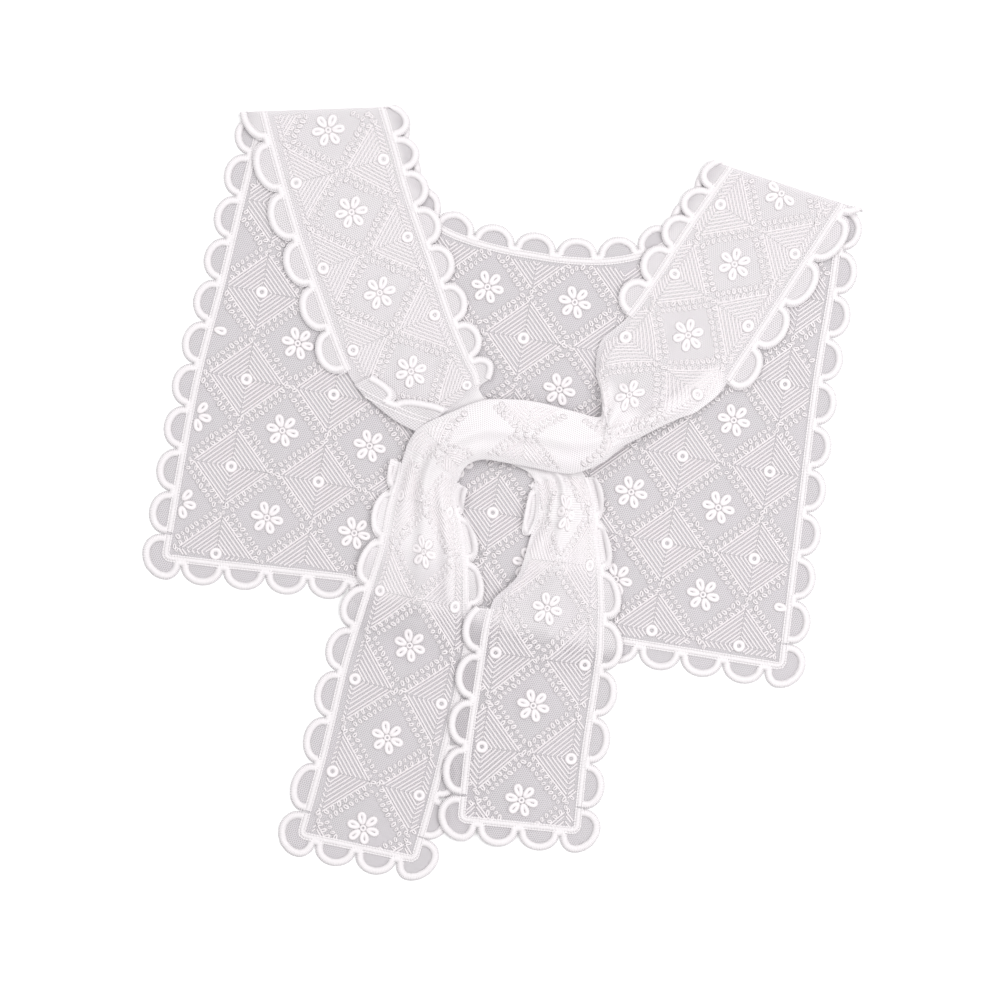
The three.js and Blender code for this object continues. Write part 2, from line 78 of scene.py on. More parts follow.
LEFT_TIE_ROWS = [
    (0, -145, 211, 12, 1.02, 2.4, 2.4, 0, 0, -35, 35),
    (30, -132, 184, 20, 1.01, 1.5, 1.5, 0.3, 0, -35, 35),
    (60, -119, 157, 27, 1, 1.5, 1.5, 0.5, 0, -35, 35),
    (109, -95, 114, 32, 1, 1.5, 1.5, 0.8, 0, -35, 35),
    (151, -74, 78, 34, 0.98, 1.5, 1.5, 1, 0.3, -35, 35),
    (183, -54, 53, 40, 0.92, 1.5, 1.5, 1, 0.4, -26, 35),
    (203, -38, 42, 50, 0.7, 1.5, 1.5, 1, 0.5, -22, 35),
    (235, -8, 34, 62, 0.42, 1.5, 1.5, 3, 0.6, -22, 35),
    (270, 24, 26, 30, 0.42, 1.5, 1.5, 1.8, 0.6, -30, 35),
    (292, 36, 14, 12, 0.45, 1.5, 1.5, 3, 0.8, -35, 35),
    (312, 41, -8, 6, 0.52, 1.5, 1.5, 4.5, 0.9, -34, 35),
    (344, 40, -40, 3, 0.8, 2.6, 1.5, 3, 0.7, -26, 35),
    (366, 39, -62, 2, 0.95, 3.9, 1.5, 1.5, 0.3, -35, 35),
    (386, 40, -84, 2, 1, 3.6, 1.5, 0.3, 0, -35, 35),
    (400, 40.5, -98, 2, 1, 2.2, 0, 0, 0, -35, 35),
    (440, 41.5, -138, 2, 1, 1.8, 0, 0, 0, -35, 35),
    (492, 45, -190, 4, 1, 1.8, 0, 0, 0, -35, 35),
    (518, 46.8, -216, 4, 1, 1.8, 0, 0, 0, -35, 35),
]

RIGHT_TIE_ROWS = [
    (0, 136, 214.5, -8, 1.01, 2.4, 2.4, 0, 0, -35, 35),
    (31, 123.5, 186, -16, 1, 1.5, 1.5, 0.4, 0, -35, 35),
    (63, 111, 157, -24, 1, 1.5, 1.5, 0.8, 0, -35, 35),
    (101, 96, 122, -28, 1, 1.5, 1.5, 1.5, 0.3, -35, 35),
    (123, 87, 103, -30, 1.02, 1.5, 1.5, 2.5, 0.6, -35, 35),
    (140, 76, 90, -28, 1.02, 1.5, 1.5, 4, 1, -35, 35),
    (149, 70, 82.5, -29, 0.92, 1.5, 1.5, 5.5, 1.1, -34, 34),
    (165, 61.5, 69, -40, 0.7, 1.7, 1.7, 7, 1.2, -33, 33),
    (175, 57.5, 59.5, -57, 0.53, 2.5, 2.5, 8, 1, -33, 33),
    (188, 54.5, 47, -74, 0.4, 4, 4, 8.5, 0.6, -33, 33),
    (208, 35, 41, -88, 0.56, 5, 5, 8, 0.7, -33, 33),
    (233, 10, 42, -90, 0.58, 5, 5, 8, 0.7, -33, 33),
    (256, -13, 40.5, -84, 0.54, 5.2, 5, 8, 0.7, -33, 33),
    (274, -29, 33, -60, 0.48, 5, 5, 8, 0.8, -33, 33),
    (293, -42, 20, -30, 0.54, 3.4, 3.4, 7.5, 1, -34, 34),
    (310, -45, 3, -12, 0.5, 1.6, 1.6, 6.5, 1.2, -35, 35),
    (333, -42, -20, -8, 0.65, 1.5, 1.5, 5, 1.2, -35, 35),
    (358, -39, -45, -3, 0.75, 1.5, 1.5, 3.5, 1, -35, 35),
    (377, -38.5, -64, -2, 0.84, 1.5, 1.5, 2.2, 0.7, -35, 35),
    (398, -37.5, -85, -4, 0.95, 1.5, 1.5, 1, 0.3, -35, 35),
    (412, -38.5, -99, -5, 0.98, 0, 0, 0.6, 0.2, -35, 35),
    (433, -40, -120, -6, 1, 0, 0, 0, 0, -35, 35),
    (483, -43, -170, -6, 1, 0, 0, 0, 0, -35, 35),
    (534, -48, -220, -2, 1, 0, 0, 0, 0, -35, 35),
    (560, -50.6, -246, -2, 1, 0, 0, 0, 0, -35, 35),
]

LEFT_SIDE = [(-183, 166), (-187, 100), (-192, 34), (-192, -69)]
HEM = [(-158, -67), (-84, -62), (-22, -66), (85, -70.5)]
RIGHT_SIDE = [(184, -69), (178, 39), (174.5, 107), (174, 164)]
NECKLINE = [
    (-101, 196), (-90, 176), (-74, 160), (-56, 152), (-31, 148.5), (-6, 148), (18, 149), (43, 153.5),
    (66, 164), (82, 180), (92, 198),
]

# ---- the embroidery's repeat ----
REPEAT = 53.1              # from one flower to the next
PANEL_ORIGIN = (23.5, -34.8)
RINGS = (23.0, 20.8, 17.7, 14.6, 11.7, 8.8, 6.2)   # half-diagonals of the nested diamonds
LOOP_ROWS = (27.9, 22.6)   # half-diagonals of the two rows of loops round a flower
LOOPS_PER_SIDE = 9
PETALS = 6
PETAL_MIDDLE = 6.1         # flower's centre to the middle of a petal
PANEL_PETAL_TURN = -5      # degrees
TIE_PETAL_TURN = 8
LOOP_SWAY = 45             # degrees a loop may lean
LINE_WIDTH = 1.05

# ---- rolls and hollows pressed into the ties ----
# (tie's along from and to, across there, height, half-width)
LEFT_TIE_ROLLS = [(290, 350, -10, -10, 2.5, 7)]
RIGHT_TIE_ROLLS = [
    (104, 188, 27, 27, 3.4, 9),
    (118, 178, 15, 16, -0.9, 3.5),
    (300, 385, 18, 24, 3.0, 5),
]
EASE = 0.85                # least gather shown in the knot; the width it doesn't show is left out


# ---- cloth surfaces ----
class Tie:
    """A tie's table with its slopes, level at its peaks, and the fine folds of its gathers.

    Over the eased stretch, (from, full from, full to, to), the width beyond EASE is left out, so the
    cloth there is narrower than the tie that it stands for.
    """

    def __init__(self, rows, folds, fold_height, rolls, eased):
        self.rows = np.array(rows, float)
        self.knots = self.rows[:, 0]
        self.folds, self.fold_height = folds, fold_height
        self.rolls, self.eased = rolls, eased
        rise = np.diff(self.rows, axis=0) / np.diff(self.knots)[:, None]
        self.slopes = np.zeros_like(self.rows)
        self.slopes[0], self.slopes[-1] = rise[0], rise[-1]
        same_way = rise[:-1] * rise[1:] > 0
        total = np.where(same_way, rise[:-1] + rise[1:], 1)
        self.slopes[1:-1] = np.where(same_way, 2 * rise[:-1] * rise[1:] / total, 0)


LEFT_TIE = Tie(LEFT_TIE_ROWS, 6, 2.6, LEFT_TIE_ROLLS, (197, 212, 276, 284))
RIGHT_TIE = Tie(RIGHT_TIE_ROWS, 6, 2.6, RIGHT_TIE_ROLLS, (140, 165, 284, 300))
FOLD_RADIUS = LEFT_TIE_ROWS[0][5] / 2
FOLD_START = -math.pi * FOLD_RADIUS


def row_at(tie, along):
    knots, data, slopes = tie.knots, tie.rows, tie.slopes
    s = np.asarray(along, float)
    i = np.clip(np.searchsorted(knots, s) - 1, 0, len(knots) - 2)
    span = (knots[i + 1] - knots[i])[..., None]
    f = np.clip((s - knots[i])[..., None] / span, 0, 1)
    ends = (2 * f**3 - 3 * f**2 + 1) * data[i] + (3 * f**2 - 2 * f**3) * data[i + 1]
    bends = (f**3 - 2 * f**2 + f) * slopes[i] + (f**3 - f**2) * slopes[i + 1]
    row = dict(zip(COLUMNS, np.moveaxis(ends + bends * span, -1, 0)))
    eased = np.interp(s, tie.eased, (0, 1, 1, 0))
    row["ease"] = 1 + (np.maximum(EASE / row["gather"], 1) - 1) * eased
    row["left"] = row["left"] / row["ease"]
    row["right"] = row["right"] / row["ease"]
    return row


def rolled(tie, along, across):
    """Height of the rolls and hollows at a place on a tie."""
    height = 0
    for start, end, across_start, across_end, high, half in tie.rolls:
        f = np.clip((along - start) / (end - start), 0, 1)
        middle = across_start + (across_end - across_start) * f
        height = height + high * np.sin(math.pi * f) ** 0.7 * np.exp(-(((across - middle) / half) ** 2))
    return height


def tie_point(tie, along, across):
    """Middle of the cloth at a place on a tie; before along = 0 it goes round the shoulder fold."""
    row = row_at(tie, np.maximum(along, 0))
    across = across * row["ease"]
    turn = np.radians(row["turn"])
    lateral = across * row["gather"]
    side = np.clip(0.5 - across / HALF_TIE, 0, 1)
    lift = row["lift_right"] + (row["lift_left"] - row["lift_right"]) * side**2 * (3 - 2 * side)
    arch = row["crown"] * np.maximum(0, 1 - (across / ARCH_HALF) ** 2) ** 2
    pleat = row["pleat"] * np.cos(2 * math.pi * PLEATS * across / (2 * HALF_OVERALL))
    slack = np.clip(0.9 - row["gather"] * row["ease"], 0, 1)
    wander = 0.9 * np.sin(along / 23) + 0.5 * np.sin(along / 9.5 + across / 20)
    uneven = 0.75 + 0.25 * np.sin(across / 11 + along / 31)
    wave = np.cos(2 * math.pi * tie.folds * across / (2 * HALF_OVERALL) + wander)
    fold = tie.fold_height * slack * uneven * wave
    pressed = fold + rolled(tie, along, across)
    rise = np.maximum(arch + pleat, 0) + np.maximum(pressed, -0.6 * np.maximum(arch, 0.4) - 0.3)
    angle = np.maximum(-along, 0) / FOLD_RADIUS
    outward = FOLD_RADIUS * np.sin(angle)
    return np.stack([
        row["x"] + lateral * np.cos(turn) - outward * np.sin(turn),
        row["y"] + lateral * np.sin(turn) + outward * np.cos(turn),
        WALL / 2 + lift + rise - FOLD_RADIUS * (1 - np.cos(angle)),
    ], -1)


def unit(v):
    return v / np.maximum(np.linalg.norm(v, axis=-1, keepdims=True), 1e-9)


def tie_surface(tie):
    step = 0.4

    def surface(along, across):
        along, across = np.broadcast_arrays(np.asarray(along, float), np.asarray(across, float))
        down = tie_point(tie, along + step, across) - tie_point(tie, along - step, across)
        over = tie_point(tie, along, across + step) - tie_point(tie, along, across - step)
        return tie_point(tie, along, across), unit(np.cross(down, over))

    return surface


def yoke_surface(x, y):
    x, y = np.broadcast_arrays(np.asarray(x, float), np.asarray(y, float))
    up = np.zeros(x.shape + (3,))
    up[..., 2] = 1
    return np.stack([x, y, np.full(x.shape, WALL / 2)], -1), up


def creased_surface(tie, lift_side):
    """A tie whose margins past its two creases fold under (lift_side -1) or over (1) the front."""
    flat = tie_surface(tie)

    def surface(along, across):
        along, across = np.broadcast_arrays(np.asarray(along, float), np.asarray(across, float))
        row = row_at(tie, np.maximum(along, 0))
        over_left = np.maximum(row["left"] - across, 0)
        over_right = np.maximum(across - row["right"], 0)
        past = over_left + over_right
        way = np.where(over_left > 0, -1.0, 1.0)
        crease = np.where(over_left > 0, row["left"], np.where(over_right > 0, row["right"], across))
        angle = np.minimum(past / TURN_RADIUS, math.pi)
        beyond = np.maximum(past - math.pi * TURN_RADIUS, 0)
        squeeze = np.maximum(row["gather"] * row["ease"], 0.3)
        at = crease + way * (TURN_RADIUS * np.sin(angle) - beyond) / squeeze
        point, up = flat(along, at)
        return point + lift_side * TURN_RADIUS * (1 - np.cos(angle))[..., None] * up, up

    return surface


def skew(tie, along):
    """How far the cloth's own length leans from the strip's crosswise line, near the shoulder."""
    s = np.maximum(along, 0)
    ahead, behind = row_at(tie, s + 2), row_at(tie, np.maximum(s - 2, 0))
    heading = np.arctan2(ahead["y"] - behind["y"], ahead["x"] - behind["x"])
    lean = np.cos(np.radians(row_at(tie, s)["turn"]) - heading)
    return lean * np.clip((90 - s) / 30, 0, 1)


def cloth_place(tie, along, across):
    return np.stack([across, along + across * skew(tie, along)], -1)


def strip_place(tie, u, v):
    along = v
    for _ in range(5):
        along = v - u * skew(tie, along)
    return along, u


# ---- seams and outlines ----
def spline(through, count):
    """Points on a smooth curve through the given ones."""
    p = np.array(through, float)
    weights = np.linspace(0, len(p) - 1, count + 1)
    i = np.minimum(weights.astype(int), len(p) - 2)
    f = (weights - i)[:, None]
    before, after = p[np.maximum(i - 1, 0)], p[np.minimum(i + 2, len(p) - 1)]
    before = np.where((i == 0)[:, None], p[i], before)
    v0, v1 = (p[i + 1] - before) / 2, (after - p[i]) / 2
    cubic = (2 * (p[i] - p[i + 1]) + v0 + v1) * f**3 + (3 * (p[i + 1] - p[i]) - 2 * v0 - v1) * f**2
    return cubic + v0 * f + p[i]


def cornered(corners):
    """A line through its corners, each one rounded."""
    corners = np.array(corners, float)
    line = [corners[:1]]
    f = np.linspace(0, 1, 7)[:, None]
    for before, corner, after in zip(corners, corners[1:], corners[2:]):
        start = corner + unit(before - corner) * CORNER_RADIUS
        end = corner + unit(after - corner) * CORNER_RADIUS
        line.append((1 - f) ** 2 * start + 2 * f * (1 - f) * corner + f**2 * end)
    return np.concatenate(line + [corners[-1:]])


def fold_corner(rows, across):
    _, x, y, turn, gather = rows[0][:5]
    way = math.radians(turn)
    lateral = across * gather
    return (
        x + lateral * math.cos(way) + GAP * math.sin(way),
        y + lateral * math.sin(way) - GAP * math.cos(way),
    )


def fold_way(rows):
    way = math.radians(rows[0][3])
    return np.array([math.cos(way), math.sin(way)])


class Seam:
    """A seam line in cloth places: the place s along it and the way out from the cloth."""

    def __init__(self, line, outward, first=None, last=None):
        self.line, self.outward, self.first, self.last = np.array(line, float), outward, first, last
        self.lengths = np.concatenate([[0], np.cumsum(np.linalg.norm(np.diff(self.line, axis=0), axis=1))])
        self.total = self.lengths[-1]

    def place(self, s):
        return np.stack([np.interp(s, self.lengths, self.line[:, k]) for k in (0, 1)], -1)

    def at(self, s):
        way = unit(self.place(np.minimum(s + 1, self.total)) - self.place(np.maximum(s - 1, 0)))
        out = np.stack([way[..., 1], -way[..., 0]], -1) * self.outward
        for end, distance in ((self.first, s), (self.last, self.total - s)):
            if end is not None:
                f = np.clip(1 - distance / SLANT_LENGTH, 0, 1)[..., None]
                out = unit(out * (1 - f) + end * f)
        return self.place(s), out


class StripSeam:
    """The straight seam along one side of a tie."""

    def __init__(self, side):
        self.side = side

    def at(self, s):
        place = np.stack([s, np.full_like(s, self.side * HALF_TIE)], -1)
        return place, np.stack([0 * s, 0 * s + self.side], -1)


left_line = spline([fold_corner(LEFT_TIE_ROWS, -HALF_TIE), *LEFT_SIDE], 16)
right_line = spline([*RIGHT_SIDE, fold_corner(RIGHT_TIE_ROWS, HALF_TIE)], 16)
shoulders = [fold_corner(LEFT_TIE_ROWS, HALF_TIE), fold_corner(RIGHT_TIE_ROWS, -HALF_TIE)]
neck_line = spline([shoulders[0], *NECKLINE, shoulders[1]], 32)
hem_line = cornered([left_line[-2], LEFT_SIDE[-1], *HEM, RIGHT_SIDE[0], right_line[1]])
panel_outline = np.concatenate([left_line[:-2], hem_line, right_line[2:], neck_line[::-1]])

panel_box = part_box("back_panel")
SHIFT = np.array([
    panel_box[0].x / MM - panel_outline[:, 0].min() - GAP / 2,
    panel_box[0].y / MM - panel_outline[:, 1].min() - GAP / 2,
    0,
])


def inside(outline, points):
    """Which points are inside an outline."""
    x, y = points[..., 0], points[..., 1]
    result = np.zeros(x.shape, bool)
    for (ax, ay), (bx, by) in zip(outline, np.roll(outline, -1, axis=0)):
        if ay != by:
            crosses = (ay > y) != (by > y)
            result ^= crosses & (x < (bx - ax) * (y - ay) / (by - ay) + ax)
    return result


def offset_outline(outline, distance):
    """An anticlockwise outline moved inwards, or outwards for a negative distance."""
    way_in = unit(outline - np.roll(outline, 1, axis=0))
    way_out = unit(np.roll(outline, -1, axis=0) - outline)
    both = way_in + way_out
    inward = unit(np.stack([-both[:, 1], both[:, 0]], -1))
    half = np.sqrt(np.maximum((1 + (way_in * way_out).sum(-1)) / 2, 0.09))
    return outline + inward * (distance / half)[:, None]


ON_YOKE = 0.62             # painted light: how much lighter a tie's colour is painted where it lies on the yoke
UNDERLAYS = [offset_outline(panel_outline, -reach) for reach in (5, 7, 9, 11)]


# ---- camera ----
scene = bpy.context.scene
CAMERA_TURN = math.radians(10)
CAMERA_LENS = 85
SENSOR = 36
VIEW_WIDTH = 600.0


def add_camera():
    data = bpy.data.cameras.new("camera")
    data.lens, data.sensor_width = CAMERA_LENS, SENSOR
    camera = bpy.data.objects.new("camera", data)
    height = VIEW_WIDTH * CAMERA_LENS / SENSOR
    camera.location = Vector((SHIFT[0], SHIFT[1], height)) * MM
    camera.rotation_euler = (0, 0, CAMERA_TURN)
    scene.collection.objects.link(camera)
    scene.camera = camera


add_camera()


# ---- node helpers ----
def feed(tree, socket, value):
    """Links a socket to another, or gives it a value."""
    if isinstance(value, bpy.types.NodeSocket):
        tree.links.new(value, socket)
    else:
        socket.default_value = value


def node(tree, kind, settings=None, **inputs):
    """A node with its settings and its inputs, whose names have _ for a space."""
    made = tree.nodes.new(kind)
    for name, value in (settings or {}).items():
        setattr(made, name, value)
    for name, value in inputs.items():
        feed(tree, made.inputs[name.replace("_", " ")], value)
    return made


def two_input_node(tree, kind, operation, a, b):
    made = node(tree, kind, {"operation": operation})
    feed(tree, made.inputs[0], a)
    feed(tree, made.inputs[1], b)
    return made


def math_node(tree, operation, a, b):
    return two_input_node(tree, "ShaderNodeMath", operation, a, b).outputs[0]


def vector_node(tree, operation, a, b):
    return two_input_node(tree, "ShaderNodeVectorMath", operation, a, b).outputs["Vector"]


def mix_colour(tree, factor, a, b, blend="MIX"):
    settings = {"data_type": "RGBA", "blend_type": blend}
    return node(tree, "ShaderNodeMix", settings, Factor=factor, A=a, B=b).outputs["Result"]


# ---- materials ----
def srgb(r, g, b):
    def linear(c):
        c /= 255
        return c / 12.92 if c <= 0.04045 else ((c + 0.055) / 1.055) ** 2.4
    return (linear(r), linear(g), linear(b), 1)


NET_PITCH = 1.35
NET_HOLE = 0.40            # radius of a hole, in pitches
HOLE_EDGE = 0.06
# painted shade and light: the net's tone is painted grey where it lies alone, for the shade among its
# threads, and near white where cloth lies beneath it, for the light that cloth throws back
NET_SHADED_ALONE = srgb(197, 192, 196)
NET_LIT_OVER_CLOTH = srgb(238, 234, 236)
HOLE_ALONE = 0.45          # how much the net covers between its threads
HOLE_BACKED = 0.72
COOL_PATCH = (0.94, 0.96, 0.94, 1)
WARM_PATCH = (1.0, 0.98, 1.0, 1)


def hexagon_mesh_group():
    """Threads of a hexagonal net: 0 in a hole and 1 on a thread."""
    tree = bpy.data.node_groups.new("hexagon_net", "ShaderNodeTree")
    tree.interface.new_socket("Place", in_out="INPUT", socket_type="NodeSocketVector")
    for name in ("Pitch", "Hole"):
        tree.interface.new_socket(name, in_out="INPUT", socket_type="NodeSocketFloat")
    tree.interface.new_socket("Thread", in_out="OUTPUT", socket_type="NodeSocketFloat")
    given = tree.nodes.new("NodeGroupInput").outputs
    per_pitch = math_node(tree, "DIVIDE", 1.0, given["Pitch"])
    scaled = node(tree, "ShaderNodeVectorMath", {"operation": "SCALE"}, Scale=per_pitch)
    feed(tree, scaled.inputs[0], given["Place"])
    tall = (1, math.sqrt(3), 0)
    squeezed = vector_node(tree, "DIVIDE", scaled.outputs[0], (1, math.sqrt(3), 1))
    distances = []
    for start in ((0, 0, 0), (0.5, 0.5, 0)):
        shifted = vector_node(tree, "ADD", squeezed, start)
        cell = node(tree, "ShaderNodeVectorMath", {"operation": "FRACTION"})
        feed(tree, cell.inputs[0], shifted)
        middle = vector_node(tree, "SUBTRACT", cell.outputs["Vector"], (0.5, 0.5, 0))
        reach = node(tree, "ShaderNodeVectorMath", {"operation": "LENGTH"})
        feed(tree, reach.inputs[0], vector_node(tree, "MULTIPLY", middle, tall))
        distances.append(reach.outputs["Value"])
    edge = node(
        tree, "ShaderNodeMapRange", {"interpolation_type": "SMOOTHSTEP"},
        Value=math_node(tree, "MINIMUM", *distances),
        From_Min=math_node(tree, "SUBTRACT", given["Hole"], HOLE_EDGE),
        From_Max=math_node(tree, "ADD", given["Hole"], HOLE_EDGE),
    )
    result = tree.nodes.new("NodeGroupOutput")
    tree.links.new(edge.outputs[0], result.inputs["Thread"])
    return tree


def principled(name, roughness, sheen):
    material = bpy.data.materials.new(name)
    material.use_nodes = True
    shader = material.node_tree.nodes["Principled BSDF"]
    shader.inputs["Roughness"].default_value = roughness
    shader.inputs["Specular IOR Level"].default_value = 0.25
    shader.inputs["Sheen Weight"].default_value = sheen
    return material, material.node_tree, shader


def net_material(hexagons):
    """Fine net whose colour is painted: grey where it lies alone, a painted shade among its threads, and
    lighter where more cloth lies behind it, painted light thrown back by that cloth.
    """
    material, tree, shader = principled("yoke_net", 0.9, 0.15)
    place = node(tree, "ShaderNodeUVMap", {"uv_map": "cloth"}).outputs[0]
    behind = node(tree, "ShaderNodeAttribute", {"attribute_name": "backing"}).outputs["Fac"]
    threads = node(tree, "ShaderNodeGroup", {"node_tree": hexagons},
                   Place=place, Pitch=NET_PITCH * MM, Hole=NET_HOLE)
    patches = node(tree, "ShaderNodeTexNoise", Vector=place, Scale=38, Detail=3)
    # painted shade and light: mixes the shaded lone tone with the lit tone by the amount of painted layer
    # light
    tone = mix_colour(tree, behind, NET_SHADED_ALONE, NET_LIT_OVER_CLOTH)
    patch = mix_colour(tree, patches.outputs["Fac"], COOL_PATCH, WARM_PATCH)
    feed(tree, shader.inputs["Base Color"], mix_colour(tree, 1.0, tone, patch, "MULTIPLY"))
    hole = node(tree, "ShaderNodeMix", {"data_type": "FLOAT"}, Factor=behind, A=HOLE_ALONE, B=HOLE_BACKED)
    cover = node(tree, "ShaderNodeMapRange", Value=threads.outputs["Thread"], To_Min=hole.outputs["Result"])
    feed(tree, shader.inputs["Alpha"], cover.outputs[0])
    return material


def thread_material(name, colour, grain):
    """Cotton thread with a little unevenness in its tone."""
    material, tree, shader = principled(name, 0.7, 0.1)
    where = node(tree, "ShaderNodeTexCoord").outputs["Object"]
    uneven = node(tree, "ShaderNodeTexNoise", Vector=where, Scale=grain)
    darker = tuple(0.94 * c for c in colour[:3]) + (1,)
    feed(tree, shader.inputs["Base Color"], mix_colour(tree, uneven.outputs["Fac"], darker, colour))
    return material


yoke_net = net_material(hexagon_mesh_group())
embroidery_thread = thread_material("embroidery_thread", srgb(232, 227, 229), 300)
cord_thread = thread_material("satin_cord_thread", srgb(231, 227, 229), 200)


# ---- meshes ----
def new_mesh(name, points, edges=(), faces=(), material=None):
    mesh = bpy.data.meshes.new(name)
    placed = (np.asarray(points, float).reshape(-1, 3) + SHIFT) * MM
    whole = [[tuple(map(int, item)) for item in items] for items in (edges, faces)]
    mesh.from_pydata(placed.tolist(), *whole)
    if material:
        mesh.materials.append(material)
    made = bpy.data.objects.new(name, mesh)
    scene.collection.objects.link(made)
    return made


def grid_faces(rows, cols):
    i, j = np.meshgrid(np.arange(rows - 1), np.arange(cols - 1), indexing="ij")
    a = (i * cols + j).ravel()
    return np.stack([a, a + cols, a + cols + 1, a + 1], -1)


def finish_net(made, flat, backing):
    """Gives a net its own flat places, in metres, and the amount of painted light in its colour, and turns
    its faces up.
    """
    mesh = made.data
    normals = np.array([p.normal[:] for p in mesh.polygons])
    if normals[:, 2].sum() < 0:
        mesh.flip_normals()
    corners = np.zeros(len(mesh.loops), np.int64)
    mesh.loops.foreach_get("vertex_index", corners)
    layer = mesh.uv_layers.new(name="cloth")
    layer.data.foreach_set("uv", (flat[corners] * MM).astype(np.float32).ravel())
    mesh.attributes.new("backing", "FLOAT", "POINT").data.foreach_set("value", backing.astype(np.float32))
    mesh.shade_smooth()


def net_grid(name, surface, grid, flat_of, backing_of):
    """A net from a grid of places on a surface."""
    a, b = grid[..., 0], grid[..., 1]
    points, _ = surface(a, b)
    made = new_mesh(name, points, faces=grid_faces(*a.shape), material=yoke_net)
    a, b = a.ravel(), b.ravel()
    finish_net(made, flat_of(a, b), backing_of(points.reshape(-1, 3), a, b))
    return made


def tie_painted_layer_light(tie):
    """Amount of painted light in a tie's colour: 1 where it is gathered on itself, less where it only lies
    on the yoke, 0 on the table; its rolls add a painted highlight along their crests.
    """
    def backing(points, along, across):
        # painted light: lying on the yoke or being gathered makes the tie's colour lighter, standing in for
        # light thrown back by the cloth beneath
        on_yoke = np.mean([inside(edge, points[:, :2]) for edge in UNDERLAYS], axis=0)
        row = row_at(tie, np.maximum(along, 0))
        gathered = np.clip((0.95 - row["gather"]) * 4, 0, 1)
        # painted highlight: the rolls and ridges are painted lighter by their height
        doubled = np.clip(rolled(tie, along, across * row["ease"]) / 1.5, 0, 1)
        return np.maximum(np.maximum(ON_YOKE * on_yoke, gathered), doubled)
    return backing


def no_painted_layer_light(points, along, across):
    return np.zeros(len(points))


# ---- geometry nodes: stitches along lines, and ringed motifs ----
def new_tree(name, sizes, counts=()):
    """A tree that takes geometry, sizes, counts and a thread, and what it is given."""
    tree = bpy.data.node_groups.new(name, "GeometryNodeTree")
    sockets = [("Geometry", "Geometry")] + [(size, "Float") for size in sizes]
    sockets += [(count, "Int") for count in counts] + [("Thread", "Material")]
    for socket, kind in sockets:
        tree.interface.new_socket(socket, in_out="INPUT", socket_type="NodeSocket" + kind)
    return tree, tree.nodes.new("NodeGroupInput").outputs


def attribute(tree, name):
    found = node(tree, "GeometryNodeInputNamedAttribute", {"data_type": "FLOAT_VECTOR"}, Name=name)
    return found.outputs["Attribute"]


def turned_to_cloth(tree, along):
    """The rotation that lays an instance on the cloth, pointing along a direction."""
    axes = node(tree, "FunctionNodeAxesToRotation", {"primary_axis": "Z", "secondary_axis": "X"},
                Primary_Axis=attribute(tree, "up"), Secondary_Axis=along)
    return axes.outputs["Rotation"]


def smoothed(tree, mesh):
    return node(tree, "GeometryNodeSetShadeSmooth", Geometry=mesh).outputs["Geometry"]


def finished_tree(tree, geometry, given):
    realized = node(tree, "GeometryNodeRealizeInstances", Geometry=geometry).outputs["Geometry"]
    painted = node(tree, "GeometryNodeSetMaterial", Geometry=realized, Material=given["Thread"])
    tree.interface.new_socket("Geometry", in_out="OUTPUT", socket_type="NodeSocketGeometry")
    node(tree, "NodeGroupOutput", Geometry=painted.outputs["Geometry"])
    return tree


def stitch_tree():
    """Plump stitches laid one after another along lines on the cloth."""
    tree, given = new_tree("stitches_along_lines", ("Pitch", "Length", "Width", "Height"))
    lines = node(tree, "GeometryNodeMeshToCurve", Mesh=given["Geometry"])
    evened = node(tree, "GeometryNodeResampleCurve", {"mode": "LENGTH"}, Curve=lines.outputs["Curve"],
                  Length=given["Pitch"])
    stitch = node(tree, "GeometryNodeMeshIcoSphere", Radius=0.5, Subdivisions=1)
    size = node(tree, "ShaderNodeCombineXYZ", X=given["Length"], Y=given["Width"], Z=given["Height"])
    along = node(tree, "GeometryNodeInputTangent").outputs["Tangent"]
    placed = node(
        tree, "GeometryNodeInstanceOnPoints", Points=evened.outputs["Curve"],
        Instance=smoothed(tree, stitch.outputs["Mesh"]), Rotation=turned_to_cloth(tree, along),
        Scale=size.outputs[0],
    )
    return finished_tree(tree, placed.outputs["Instances"], given)


def chain_tree():
    """A fine cord of chain stitch along lines on the cloth."""
    tree, given = new_tree("chain_stitched_lines", ("Width",))
    lines = node(tree, "GeometryNodeMeshToCurve", Mesh=given["Geometry"])
    half = math_node(tree, "MULTIPLY", given["Width"], 0.5)
    section = node(tree, "GeometryNodeCurvePrimitiveCircle", {"mode": "RADIUS"}, Resolution=4, Radius=half)
    swept = node(tree, "GeometryNodeCurveToMesh",
                 Curve=lines.outputs["Curve"], Profile_Curve=section.outputs["Curve"])
    return finished_tree(tree, smoothed(tree, swept.outputs["Mesh"]), given)


